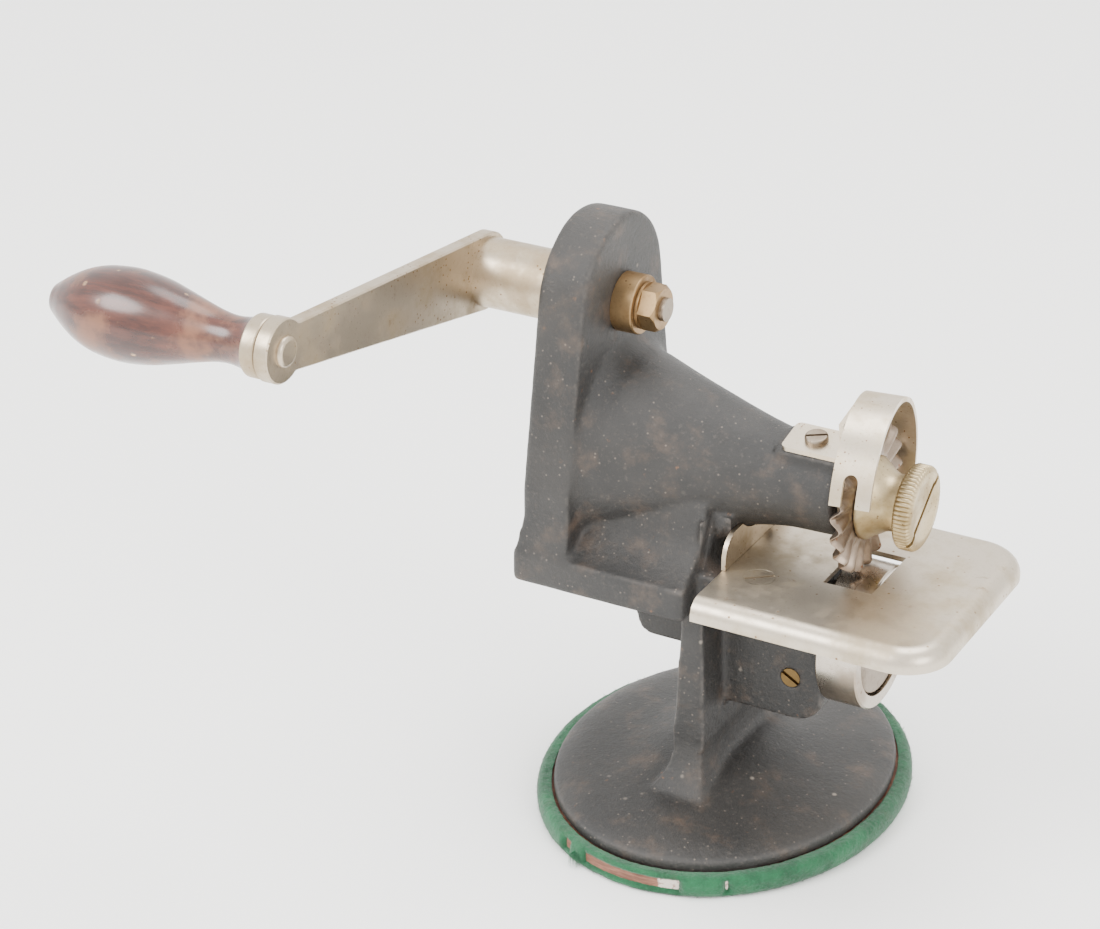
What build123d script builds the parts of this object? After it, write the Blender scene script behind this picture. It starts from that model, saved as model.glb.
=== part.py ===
"""Hand-cranked rotary scallop cutter for leather: crank, gears, wavy cutter wheel and anvil roller.

Millimetres. X runs along the three shafts towards the cutter, Y across the table, Z up.
The origin is the middle of the base, on the surface that the felt stands on.
"""
import math
import os
from build123d import *

# ---- driving dimensions ------------------------------------------------------------------
ROLLER_Z = 58.0            # height of the anvil roller's axis
SHAFT_SPACING = 40.0       # roller to cutter, and cutter to crank
CUTTER_Z = ROLLER_Z + SHAFT_SPACING
CRANK_Z = CUTTER_Z + SHAFT_SPACING
RUN_GAP = 0.05             # radial clearance of a running fit

BASE_A, BASE_B = 45.0, 55.4          # half sizes of the cast foot along X and Y
FELT_OUT = 4.6                       # how far the felt edge stands out past the foot
BOARD_BOTTOM, BOARD_TOP = 1.5, 4.6   # base board inside the felt
FELT_TOP = 6.0
FOOT_RIM_TOP = 8.4

WALL_BACK, WALL_FRONT = -47.6, -33.4
WALL_ARCH_R, WALL_HALF = 22.8, 30.6
WALL_ARCH_Z = CRANK_Z + 1.2
COVER_T = 2.0
POCKET_FRONT = -36.6       # front wall of the gear pocket

SLAB_X0, SLAB_X1 = -49.8, 1.2
SLAB_HALF, SLAB_Z0, SLAB_Z1 = 32.0, 65.5, 75.0
BED_X1, BED_HALF, BED_Z1 = 31.0, 23.0, 76.0
WEB_HALF, WEB_X0, WEB_X1 = 12.0, -22.5, 32.9
WEB_Z_LEFT, WEB_Z_RIGHT = 47.5, 33.5
ARM_END = 33.0             # nose of the cutter arm

TABLE_TOP, TABLE_LIP, TABLE_T = 77.5, 5.7, 1.5
TABLE_X0, TABLE_X1 = 6.8, 73.4
TABLE_Y0, TABLE_Y1 = -39.2, 32.0
SLOT = (32.2, 45.9, -13.2, 9.4)      # slot for the roller: x0, x1, y0, y1

CUTTER_X, CUTTER_R = 37.7, 20.2
WAVES, WAVE_AMP, CUTTER_T = 20, 1.3, 1.5
ROLLER_R, ROLLER_X0, ROLLER_X1 = 19.5, 33.5, 45.0
CRANK_TEETH, CUTTER_TEETH, MODULE = 36, 44, 1.0
GEAR_X0, GEAR_W = -44.6, 6.6

COVER_INSET = 2.2
COVER_SCREWS = [(-17.6, 119.5), (17.6, 119.5), (-22.8, 80.6), (22.8, 80.6)]
BUSH_R = 6.5

SADDLE_X1 = 6.3            # end of the mass under the arm, where the edge guide stands
GUIDE_SCREW = (8.0, 80.8)
TABLE_SCREW_X, TABLE_SCREW_Y, SCREW_HEAD_R = 16.7, (-18.6, 18.6), 4.2
BRACKET_SCREW, BRACKET_SCREW_R = (23.4, -WEB_HALF, 45.6), 2.7
GUARD_SEAT, GUARD_TILT = 13.2, 12.0  # flat for the guard: distance from the axis, tilt
GUARD_TAB_X0, GUARD_SCREW_X = 16.6, 24.4

STUD_X0, STUD_R, JOURNAL_R = 14.0, 4.5, 6.0
HEAD_X0, HEAD_R = 41.2, 15.3

THROW = 99.9               # crank axis to handle pin
CRANK_RISE = 9.0           # degrees that the crank arm stands above the horizontal
SLEEVE_R, SLEEVE_X0 = 9.5, -74.1
CRANK_T = 4.0
SHAFT_R = 4.75             # both shafts are 9.5 bar
GRIP_R = 11.9
GRIP_X0, GRIP_X1 = -141.6, -82.4
PIN_R = 2.5
CRANK_NOSE = -27.3         # front end of the crank's front bush
NUT_X1, NUT_FLATS, THREAD_R = -21.7, 11.1, 3.17
COLLAR_X0 = 33.1
WHEEL_X0, WHEEL_X1 = CUTTER_X - CUTTER_T / 2 - 0.3, CUTTER_X + CUTTER_T / 2 + 0.3
SPINDLE_X1 = 50.4
BOARD_OUT = 3.0

os.makedirs("parts", exist_ok=True)
made = {}


def keep(name, shape):
    """Write one sub-part to its own STEP file."""
    made[name] = shape
    export_step(shape, "parts/" + name + ".step")


def rod(x0, x1, r, y=0.0, z=0.0):
    """A cylinder along X from x0 to x1."""
    return Pos((x0 + x1) / 2, y, z) * Rot(0, 90, 0) * Cylinder(r, x1 - x0)


def block(x0, x1, y0, y1, z0, z1):
    """A box given by its two corners."""
    size = Box(x1 - x0, y1 - y0, z1 - z0)
    return Pos((x0 + x1) / 2, (y0 + y1) / 2, (z0 + z1) / 2) * size


def turned(profile, z, y=0.0):
    """Revolve an (x, r) outline about the X-parallel axis at height z."""
    face = Plane.XZ * make_face(profile)
    return Pos(0, y, z) * revolve(face, Axis.X, 360)


def outline(points):
    """A closed straight-sided outline."""
    return Polyline(points, close=True)


def plate_yz(sketch, x0, x1):
    """Extrude a sketch drawn in (y, z) from x0 to x1."""
    return extrude(Plane.YZ.offset(x0) * sketch, x1 - x0)


def plate_xz(sketch, y0, y1):
    """Extrude a sketch drawn in (x, z) from y0 to y1."""
    return extrude(Plane.XZ.offset(-y1) * sketch, y1 - y0)


def hexagon(flats, x0, x1, z):
    """A hexagonal prism along X."""
    face = Pos(0, z) * RegularPolygon(flats / math.sqrt(3), 6)
    return plate_yz(face, x0, x1)


# ---- frame casting -----------------------------------------------------------------------
def corners(face, places, radius):
    """Round the corners of a flat outline that lie at the given places."""
    near = [v for v in face.vertices() if min(math.dist((v.X, v.Y), p) for p in places) < 0.3]
    return fillet(near, radius)


def foot():
    """Oval foot: an upright rim, then a low dome that climbs to the column."""
    rim = extrude(Pos(0, 0, BOARD_TOP) * Ellipse(BASE_A, BASE_B), FOOT_RIM_TOP - BOARD_TOP)
    steps = [(FOOT_RIM_TOP, 1.0), (9.9, 0.94), (11.4, 0.74), (13.4, 0.46), (16.5, 0.2)]
    rings = [Pos(0, 0, z) * Ellipse(BASE_A * k, BASE_B * k) for z, k in steps]
    return rim + loft(rings)


def column():
    """Fin across Y that flares into the foot: two tapered outlines that cross."""
    top = SLAB_Z0 + 1.0
    floor = FOOT_RIM_TOP
    half_top, half_low, half_toe = 3.0, 4.8, 13.0
    side = Polyline((half_low, 26.0), (half_top, top), (-half_top, top), (-half_low, 26.0))
    side += ThreePointArc((half_low, 26.0), (half_low + 1.6, 15.0), (half_toe, floor))
    side += Line((half_toe, floor), (-half_toe, floor))
    side += ThreePointArc((-half_toe, floor), (-half_low - 1.6, 15.0), (-half_low, 26.0))
    edge_top, edge_low, edge_toe = 24.0, 24.8, 38.0
    front = Polyline((edge_low, 28.0), (edge_top, top), (-edge_top, top), (-edge_low, 28.0))
    front += ThreePointArc((edge_low, 28.0), (edge_low + 2.8, 16.5), (edge_toe, floor))
    front += Line((edge_toe, floor), (-edge_toe, floor))
    front += ThreePointArc((-edge_toe, floor), (-edge_low - 2.8, 16.5), (-edge_low, 28.0))
    fin = plate_xz(make_face(side), -edge_toe, edge_toe)
    return fin & plate_yz(make_face(front), -half_toe, half_toe)


def web():
    """Rib along X under the bed: it carries the roller on the right."""
    top = SLAB_Z0 + 1.0
    path = [(WEB_X0, top), (WEB_X0, WEB_Z_LEFT), (0, WEB_Z_LEFT), (0, WEB_Z_RIGHT)]
    path += [(WEB_X1, WEB_Z_RIGHT), (WEB_X1, top)]
    face = make_face(outline(path))
    face = corners(face, [(WEB_X0, WEB_Z_LEFT)], 5.5)
    face = corners(face, [(WEB_X1, WEB_Z_RIGHT)], 8.0)
    return plate_xz(face, -WEB_HALF, WEB_HALF)


def wall_outline(inset):
    """Arched outline of the gear wall in (y, z), drawn in by an inset."""
    tilt = math.radians(10)
    r = WALL_ARCH_R - inset
    half = WALL_HALF - inset
    side = (r * math.cos(tilt), WALL_ARCH_Z + r * math.sin(tilt))
    low = SLAB_Z1 + inset
    line = Polyline((-side[0], side[1]), (-half, 93.0), (-half, low), (half, low), (half, 93.0), side)
    line += ThreePointArc(side, (0, WALL_ARCH_Z + r), (-side[0], side[1]))
    return make_face(line)


def wall():
    """Solid gear wall, rounded along both outer edges, on a stepped skirt."""
    body = plate_yz(wall_outline(0), WALL_BACK, WALL_FRONT)
    rim = [e for e in body.edges() if abs(e.center().X - WALL_BACK) < 0.1]
    rim = [e for e in rim if e.center().Z > SLAB_Z1 + 1]
    body = fillet(rim, 2.4)
    crease = [e for e in body.edges() if abs(e.center().X - WALL_FRONT) < 0.1]
    crease = [e for e in crease if e.center().Z > SLAB_Z1 + 1]
    body = fillet(crease, 1.2)
    low = Pos((SLAB_X0 + WALL_FRONT) / 2, 0, SLAB_Z1 - 0.6)
    low = low * Rectangle(WALL_FRONT - SLAB_X0 - 1.2, 2 * SLAB_HALF - 1.2)
    high = Pos((WALL_BACK + WALL_FRONT) / 2, 0, SLAB_Z1 + 8)
    high = high * Rectangle(WALL_FRONT - WALL_BACK, 2 * WALL_HALF - 0.2)
    return body + loft([low, high])


def slab():
    """Shelf under the wall, with worn corners, and the bed that carries the table."""
    body = block(SLAB_X0, SLAB_X1, -SLAB_HALF, SLAB_HALF, SLAB_Z0, SLAB_Z1)
    body = fillet(body.edges().filter_by(Axis.Z), 1.6)
    body = fillet(body.faces().sort_by(Axis.Z)[0].edges(), 1.2)
    body = fillet(body.faces().sort_by(Axis.Z)[-1].edges(), 0.7)
    bed = block(0, BED_X1, -BED_HALF, BED_HALF, SLAB_Z0, BED_Z1)
    return body + fillet(bed.edges().filter_by(Axis.Z), 2.0)


def saddle():
    """Mass between the shelf and the arm: its flanks sweep out to the shelf's edges."""
    foot_y, neck_y, neck_z = SLAB_HALF - 0.9, 19.5, 87.0
    via = (24.2, 79.0)
    line = Polyline((neck_y, neck_z), (neck_y - 2, 93), (2 - neck_y, 93), (-neck_y, neck_z))
    line += ThreePointArc((-neck_y, neck_z), (-via[0], via[1]), (-foot_y, SLAB_Z1 - 0.2))
    line += Line((-foot_y, SLAB_Z1 - 0.2), (foot_y, SLAB_Z1 - 0.2))
    line += ThreePointArc((foot_y, SLAB_Z1 - 0.2), via, (neck_y, neck_z))
    body = plate_yz(make_face(line), WALL_FRONT - 1, SLAB_X1 - 0.7)
    narrow = block(0, SADDLE_X1, -neck_y - 1.5, neck_y + 1.5, SLAB_Z1 - 1, neck_z + 3)
    return body + narrow


def arm():
    """Tapering round arm on the cutter axis."""
    shape = [(-26.5, 25.0), (-15.5, 21.3), (-6.3, 18.5), (3.4, 15.7), (10.8, 13.8), (20.0, 12.3)]
    line = Polyline((20.0, 12.3), (ARM_END - 0.8, 12.0), (ARM_END, 11.2), (ARM_END, 0))
    line += Polyline((ARM_END, 0), (WALL_FRONT - 1, 0), (WALL_FRONT - 1, 29.4), (WALL_FRONT, 29.4))
    line += ThreePointArc((WALL_FRONT, 29.4), (-31.3, 26.9), shape[0])
    line += Spline(*shape)
    return turned(line, CUTTER_Z)


def guard_seat():
    """Flat pad on top of the arm's nose, tipped towards the front."""
    pad = block(15.0, ARM_END, -6.4, 6.4, 8.0, GUARD_SEAT)
    return Pos(0, 0, CUTTER_Z) * Rot(GUARD_TILT, 0, 0) * pad


def pocket():
    """Room for the two gears, open at the back."""
    upper = rod(WALL_BACK - 1, POCKET_FRONT, CRANK_TEETH * MODULE / 2 + 1.6, z=CRANK_Z)
    lower = rod(WALL_BACK - 1, POCKET_FRONT, CUTTER_TEETH * MODULE / 2 + 1.8, z=CUTTER_Z)
    return upper + lower


def casting():
    """The one-piece cast frame with every hole cut in it."""
    body = foot() + column() + web() + slab() + wall() + saddle() + arm() + guard_seat()
    body -= pocket()
    body -= plate_yz(wall_outline(COVER_INSET), WALL_BACK - 1, WALL_BACK + COVER_T)
    body -= rod(POCKET_FRONT - 1, ARM_END + 1, BUSH_R, z=CUTTER_Z)
    body -= rod(POCKET_FRONT - 1, WALL_FRONT + 1, BUSH_R, z=CRANK_Z)
    body -= rod(STUD_X0 - 0.4, WEB_X1 + 1, STUD_R, z=ROLLER_Z)
    for y, z in COVER_SCREWS:
        body -= rod(WALL_BACK, WALL_BACK + 8.5, 1.25, y, z)
    for y in TABLE_SCREW_Y:
        body -= Pos(TABLE_SCREW_X, y, BED_Z1) * Cylinder(2.0, 18.0)
        body -= Pos(TABLE_SCREW_X, y, TABLE_TOP - 1.1) * Cone(2.2, SCREW_HEAD_R + 0.1, 2.2)
    body -= Pos(*BRACKET_SCREW) * Rot(90, 0, 0) * Cylinder(BRACKET_SCREW_R, 16.0)
    body -= rod(-2.0, SADDLE_X1 + 1, 1.0, *GUIDE_SCREW)
    body -= guard_hole()
    return body


def guard_hole():
    """Tapped hole for the guard's screw."""
    hole = Pos(GUARD_SCREW_X, 0, GUARD_SEAT - 2.4) * Cylinder(1.7, 5.2)
    return Pos(0, 0, CUTTER_Z) * Rot(GUARD_TILT, 0, 0) * hole


keep("frame_casting", casting())


# ---- base --------------------------------------------------------------------------------
def oval(grow, z0, z1):
    """An oval slab that follows the foot, larger by grow all round."""
    return extrude(Pos(0, 0, z0) * Ellipse(BASE_A + grow, BASE_B + grow), z1 - z0)


keep("base_board", oval(BOARD_OUT, BOARD_BOTTOM, BOARD_TOP))
felt = oval(FELT_OUT, 0, FELT_TOP) - oval(BOARD_OUT, BOARD_BOTTOM, BOARD_TOP)
felt -= oval(0.25, BOARD_TOP, FELT_TOP + 1)
keep("felt_wrap", felt)


# ---- gear cover --------------------------------------------------------------------------
cover = plate_yz(wall_outline(COVER_INSET + 0.1), WALL_BACK, WALL_BACK + COVER_T)
cover -= rod(WALL_BACK - 1, 0, BUSH_R, z=CRANK_Z)
screws = []
for y, z in COVER_SCREWS:
    cover -= rod(WALL_BACK - 1, 0, 1.7, y, z)
    head = rod(WALL_BACK - 1.3, WALL_BACK, 2.9, y, z)
    head -= Pos(WALL_BACK - 1.3, y, z) * Box(1.2, 0.7, 6.5)
    screws.append(head + rod(WALL_BACK, WALL_BACK + 7.5, 1.25, y, z))
keep("gear_cover", cover)
keep("cover_screws", Compound(screws))


# ---- crank -------------------------------------------------------------------------------
def bush(x0, x1, z, flange=0.0, flange_x=0.0):
    """A plain bush, with a flange from flange_x to x1 if one is asked for."""
    body = rod(x0, x1, BUSH_R, z=z)
    if flange:
        body += fillet(rod(flange_x, x1, flange, z=z).edges().sort_by(Axis.X)[-1], 0.5)
    return body - rod(x0 - 1, x1 + 1, SHAFT_R + RUN_GAP, z=z)


def gear_key(z):
    """Square key between gear and shaft."""
    return block(GEAR_X0, GEAR_X0 + GEAR_W, -1.25, 1.25, z + SHAFT_R - 1.2, z + SHAFT_R + 1.2)


keep("crank_bush_front", bush(POCKET_FRONT, CRANK_NOSE, CRANK_Z, 8.0, WALL_FRONT))
keep("crank_bush_rear", bush(WALL_BACK - 0.4, GEAR_X0 - 0.3, CRANK_Z))

shaft = rod(SLEEVE_X0 - CRANK_T - 0.8, CRANK_NOSE + 0.1, SHAFT_R, z=CRANK_Z)
shaft += rod(CRANK_NOSE, NUT_X1 + 1.3, THREAD_R, z=CRANK_Z)
keep("crank_shaft", shaft - gear_key(CRANK_Z))

sleeve = rod(SLEEVE_X0, WALL_BACK - 0.7, SLEEVE_R, z=CRANK_Z)
sleeve -= rod(SLEEVE_X0 - 1, 0, SHAFT_R, z=CRANK_Z)
keep("crank_sleeve", sleeve)


def crank_place(shape):
    """Put a shape drawn along the crank arm (u, v) in its place on the crank plane."""
    plane = Plane((SLEEVE_X0 - CRANK_T, 0, CRANK_Z), (0, 1, 0), (1, 0, 0))
    return plane * Rot(0, 0, 180 - CRANK_RISE) * shape


def crank_arm():
    """Flat tapered arm with a round eye for the handle pin."""
    hub, neck, eye = 10.8, 5.9, 8.3
    face = make_face(outline([(0, hub), (THROW, neck), (THROW, -neck), (0, -hub)]))
    face = face + Circle(hub) + Pos(THROW, 0) * Circle(eye)
    near = [v for v in face.vertices() if 5 < THROW - v.X < 7 and abs(v.Y) > neck - 1]
    face = fillet(near, 2.0)
    body = extrude(face, CRANK_T)
    long_edges = [e for e in body.edges() if e.length > 40]
    body = chamfer(long_edges, 0.4)
    body -= Cylinder(SHAFT_R, 3 * CRANK_T)
    body -= Pos(THROW, 0, 0) * Cylinder(PIN_R, 3 * CRANK_T)
    return crank_place(body)


keep("crank_arm", crank_arm())

washer = rod(CRANK_NOSE + 0.1, CRANK_NOSE + 0.9, 6.3, z=CRANK_Z)
keep("crank_washer", washer - rod(CRANK_NOSE, 0, THREAD_R, z=CRANK_Z))
nut = hexagon(NUT_FLATS, CRANK_NOSE + 0.9, NUT_X1, CRANK_Z)
dome = rod(CRANK_NOSE + 0.9, NUT_X1, NUT_FLATS / math.sqrt(3), z=CRANK_Z)
nut = nut & chamfer(dome.edges().sort_by(Axis.X)[-1], 0.9)
keep("crank_nut", nut - rod(CRANK_NOSE, 0, THREAD_R, z=CRANK_Z))


# ---- handle ------------------------------------------------------------------------------
PIN_Y = -THROW * math.cos(math.radians(CRANK_RISE))
PIN_Z = CRANK_Z + THROW * math.sin(math.radians(CRANK_RISE))

pin = rod(GRIP_X0 + 4.4, SLEEVE_X0, PIN_R, PIN_Y, PIN_Z)
pin += rod(GRIP_X0 + 2.9, GRIP_X0 + 4.4, 3.6, PIN_Y, PIN_Z)
rivet = rod(SLEEVE_X0, SLEEVE_X0 + 1.3, 4.0, PIN_Y, PIN_Z)
pin += fillet(rivet.edges().sort_by(Axis.X)[-1], 1.1)
keep("handle_pin", pin)

ferrule = rod(GRIP_X1, SLEEVE_X0 - CRANK_T - 0.1, 8.0, PIN_Y, PIN_Z)
ferrule = fillet(ferrule.edges().filter_by(GeomType.CIRCLE), 0.6)
keep("handle_ferrule", ferrule - rod(GRIP_X1 - 1, SLEEVE_X0, PIN_R + RUN_GAP, PIN_Y, PIN_Z))

grip_shape = [(-82.4, 7.4), (-84.6, 6.6), (-88.5, 6.1), (-93.0, 6.5), (-98.5, 7.8), (-104.5, 9.5)]
grip_shape += [(-110.5, 11.0), (-116.0, 11.8), (-121.0, GRIP_R), (-127.0, 11.2), (-132.0, 9.7)]
grip_shape += [(-136.5, 7.4), (-139.8, 5.2), (GRIP_X0, 4.2)]
line = Spline(*grip_shape)
line += Polyline(grip_shape[-1], (GRIP_X0, 0), (-82.4, 0), grip_shape[0])
grip = turned(line, PIN_Z, PIN_Y)
grip -= rod(GRIP_X0 - 1, GRIP_X1 + 1, PIN_R + RUN_GAP, PIN_Y, PIN_Z)
grip -= rod(GRIP_X0 - 1, GRIP_X0 + 4.6, 3.9, PIN_Y, PIN_Z)
keep("handle_grip", grip)


# ---- gears -------------------------------------------------------------------------------
def gear(teeth, turn_deg):
    """Straight spur gear, 20 degree involute, a little slack in the teeth."""
    pressure = math.radians(20)
    pitch_r = MODULE * teeth / 2
    base_r = pitch_r * math.cos(pressure)
    root_r = pitch_r - 1.25 * MODULE
    tip_r = pitch_r + MODULE
    slack = 0.16
    half = math.pi / (2 * teeth) - slack / (2 * pitch_r)
    start = max(base_r, root_r) + 0.01
    flank = []
    for i in range(4):
        r = start + (tip_r - start) * i / 3
        a = math.acos(base_r / r)
        flank.append((r, half + math.tan(pressure) - pressure - math.tan(a) + a))
    points = []
    for t in range(teeth):
        mid = 2 * math.pi * t / teeth + math.radians(turn_deg)
        one = [(root_r - 0.05, -flank[0][1] - 0.01)] + [(r, -a) for r, a in flank]
        one += [(r, -a) for r, a in reversed(one)]
        points += [(r * math.cos(mid + a), r * math.sin(mid + a)) for r, a in one]
    return make_face(outline(points))


def gear_at(teeth, turn_deg, z):
    """A gear on its shaft, with a raised hub that takes the cross pin."""
    face = Pos(0, z) * gear(teeth, turn_deg)
    body = plate_yz(face, GEAR_X0, GEAR_X0 + GEAR_W)
    body -= rod(GEAR_X0 - 1, GEAR_X0 + 1.4, MODULE * teeth / 2 - 4, z=z)
    body += rod(GEAR_X0, GEAR_X0 + 3, 8.0, z=z)
    body -= rod(GEAR_X0 - 1, GEAR_X0 + GEAR_W + 1, SHAFT_R, z=z)
    return body - gear_key(z)


keep("drive_gear", gear_at(CRANK_TEETH, -90, CRANK_Z))
keep("drive_gear_key", gear_key(CRANK_Z))
keep("cutter_gear", gear_at(CUTTER_TEETH, 90 + 180 / CUTTER_TEETH, CUTTER_Z))
keep("cutter_gear_key", gear_key(CUTTER_Z))


# ---- cutter ------------------------------------------------------------------------------
keep("cutter_bush_rear", bush(POCKET_FRONT, POCKET_FRONT + 14, CUTTER_Z))
keep("cutter_bush_front", bush(ARM_END - 14, ARM_END, CUTTER_Z))
spindle = rod(GEAR_X0 - 0.6, COLLAR_X0 + 0.1, SHAFT_R, z=CUTTER_Z)
spindle += rod(COLLAR_X0, SPINDLE_X1, THREAD_R, z=CUTTER_Z)
keep("cutter_shaft", spindle - gear_key(CUTTER_Z))
collar = rod(COLLAR_X0 + 0.1, WHEEL_X0, 8.5, z=CUTTER_Z)
keep("cutter_collar", collar - rod(0, 60, THREAD_R, z=CUTTER_Z))


def wave_ring(r, offset, amp):
    """Closed curve on radius r that swings along the axis once per wave."""
    steps = WAVES * 8
    ring = []
    for i in range(steps):
        a = 2 * math.pi * i / steps
        ring.append((offset + amp * math.sin(WAVES * a), r * math.cos(a), r * math.sin(a)))
    return Edge.make_spline(ring, periodic=True)


def cutter_wheel():
    """Flat hub that runs out into a corrugated rim of even thickness."""
    hub_r = 12.0
    half = CUTTER_T / 2
    back_in = wave_ring(hub_r, -half, 0)
    back_out = wave_ring(CUTTER_R, -half, WAVE_AMP)
    front_in = wave_ring(hub_r, half, 0)
    front_out = wave_ring(CUTTER_R, half, WAVE_AMP)
    pairs = [(back_in, back_out), (back_out, front_out), (front_out, front_in), (front_in, back_in)]
    faces = [Face.make_surface_from_curves(a, b) for a, b in pairs]
    rim = Solid(Shell(faces))
    hub = rod(-half - 0.3, half + 0.3, hub_r + 0.3)
    body = rim + hub if rim.volume > 0 else Solid(Shell([-f for f in faces])) + hub
    body -= rod(-5, 5, THREAD_R)
    return Pos(CUTTER_X, 0, CUTTER_Z) * body


wheel = cutter_wheel()
keep("cutter_wheel", wheel)


def thumb_nut():
    """Trumpet-shaped clamp nut with a knurled head and a coin slot."""
    x0 = WHEEL_X1
    head_x0, head_x1, head_r, flange = 49.0, 54.0, 11.4, 11.2
    line = Polyline((x0, 0), (x0, flange), (x0 + 1.2, flange))
    line += ThreePointArc((x0 + 1.2, flange), (x0 + 3.8, 8.6), (x0 + 7.4, 7.6))
    line += Polyline((x0 + 7.4, 7.6), (head_x0 - 0.4, 9.0), (head_x0, head_r), (head_x1 - 0.7, head_r))
    line += Polyline((head_x1 - 0.7, head_r), (head_x1, head_r - 0.8), (head_x1, 0), (x0, 0))
    body = turned(line, CUTTER_Z)
    body -= rod(x0 - 1, SPINDLE_X1 + 0.6, THREAD_R + RUN_GAP, z=CUTTER_Z)
    slot = Pos(head_x1, 0, CUTTER_Z) * Rot(-38, 0, 0) * Box(2.6, 30, 1.5)
    return body - slot


keep("thumb_nut", thumb_nut())


# ---- cutter guard ------------------------------------------------------------------------
def guard():
    """Bent strap: an arch over the cutter, a forked front end and a tab on the arm."""
    width, thick, out_r, mid_z, mid_x = 10.6, 1.3, 24.3, 101.0, 39.4
    turn = 8.0
    front_end, back_end = 12.0, -35.0
    ring = Circle(out_r) - Circle(out_r - thick)
    a0, a1 = math.radians(180 - front_end), math.radians(back_end)
    reach = 60
    gap = make_face(outline([(0, 0), (reach * math.cos(a0), reach * math.sin(a0)),
                             (-reach, -reach), (reach, -reach),
                             (reach * math.cos(a1), reach * math.sin(a1))]))
    strap = plate_yz(ring - gap, -width / 2, width / 2)
    fork = block(-2.3, 1.5, -out_r - 4, -out_r + 6, -5, 11.0)
    crotch = Pos(-0.4, -out_r, 11.0) * Rot(90, 0, 0) * Cylinder(1.9, 12)
    strap = strap - fork - crotch
    strap = Pos(mid_x, 0, mid_z) * Rot(0, 0, turn) * strap
    root_x = 33.6
    web_plate = block(root_x, root_x + thick, -5.6, 5.6, GUARD_SEAT, mid_z - CUTTER_Z + out_r - 1.6)
    tab = block(GUARD_TAB_X0, root_x + thick, -5.6, 5.6, GUARD_SEAT, GUARD_SEAT + thick)
    ends = [e for e in tab.edges().filter_by(Axis.Z) if abs(e.center().X - GUARD_TAB_X0) < 0.1]
    tab = fillet(ends, 1.6)
    bracket = tab + web_plate
    bracket -= Pos(GUARD_SCREW_X, 0, GUARD_SEAT) * Cylinder(1.9, 6)
    bracket = Pos(0, 0, CUTTER_Z) * Rot(GUARD_TILT, 0, 0) * bracket
    return strap + bracket


keep("cutter_guard", guard())
screw = Pos(GUARD_SCREW_X, 0, GUARD_SEAT + 1.3 + 0.8) * Cylinder(3.1, 1.6)
screw = fillet(screw.edges().sort_by(Axis.Z)[-1], 0.6)
screw -= Pos(GUARD_SCREW_X, 0, GUARD_SEAT + 2.9) * Rot(0, 0, 25) * Box(8, 0.8, 1.5)
screw += Pos(GUARD_SCREW_X, 0, GUARD_SEAT - 0.9) * Cylinder(1.7, 4.4)
keep("guard_screw", Pos(0, 0, CUTTER_Z) * Rot(GUARD_TILT, 0, 0) * screw)


# ---- table -------------------------------------------------------------------------------
def table_plate():
    """Dished plate: rounded down on three sides, open on the side against the arm."""
    corner, roll = 13.0, 4.6
    low = TABLE_TOP - TABLE_LIP
    body = block(TABLE_X0, TABLE_X1, TABLE_Y0, TABLE_Y1, low, TABLE_TOP)
    right = [e for e in body.edges().filter_by(Axis.Z) if e.center().X > TABLE_X1 - 1]
    body = fillet(right, corner)
    rim = [e for e in body.edges() if abs(e.center().Z - TABLE_TOP) < 0.1]
    rim = [e for e in rim if e.center().X > TABLE_X0 + 1]
    body = fillet(rim, roll)
    hollow = block(TABLE_X0 - 1, TABLE_X1 - 2.2, TABLE_Y0 + 2.2, TABLE_Y1 - 2.2, low - 1, BED_Z1)
    inner = [e for e in hollow.edges().filter_by(Axis.Z) if e.center().X > TABLE_X1 - 3]
    hollow = fillet(inner, corner - 2.2)
    top_rim = [e for e in hollow.edges() if abs(e.center().Z - BED_Z1) < 0.1]
    hollow = fillet([e for e in top_rim if e.center().X > TABLE_X0], roll - 1.8)
    body -= hollow
    body -= block(SLOT[0], SLOT[1], SLOT[2], SLOT[3], low, TABLE_TOP + 1)
    for y in TABLE_SCREW_Y:
        cone = Cone(2.2, SCREW_HEAD_R + 0.1, 2.1)
        body -= Pos(TABLE_SCREW_X, y, TABLE_TOP - 1.05 + 0.02) * cone
    return body


keep("table_plate", table_plate())
screws = []
for y, turn in zip(TABLE_SCREW_Y, (38, 75)):
    head = Pos(0, 0, -1.05) * Cone(2.05, SCREW_HEAD_R, 2.1)
    head -= Rot(0, 0, turn) * Box(12, 0.9, 1.6)
    head += Pos(0, 0, -5.1) * Cylinder(2.0, 6.4)
    screws.append(Pos(TABLE_SCREW_X, y, TABLE_TOP) * head)
keep("table_screws", Compound(screws))


def edge_guide():
    """Thin upright plate at the back of the table, cleared round the arm."""
    half, low, high = 20.2, TABLE_TOP + 0.1, 86.9
    face = make_face(outline([(-half, low), (half, low), (half, high), (-half, high)]))
    face = corners(face, [(-half, high), (half, high)], 6.5)
    face -= Pos(0, CUTTER_Z) * Circle(15.0)
    body = plate_yz(face, SADDLE_X1 + 0.1, SADDLE_X1 + 1.3)
    return body - rod(0, 20, 1.2, *GUIDE_SCREW)


keep("edge_guide", edge_guide())
head = rod(SADDLE_X1 + 1.3, SADDLE_X1 + 2.5, 2.1, *GUIDE_SCREW)
head -= Pos(SADDLE_X1 + 2.5, *GUIDE_SCREW) * Box(1.2, 5, 0.6)
keep("guide_screw", head + rod(-1.5, SADDLE_X1 + 1.3, 1.0, *GUIDE_SCREW))


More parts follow.
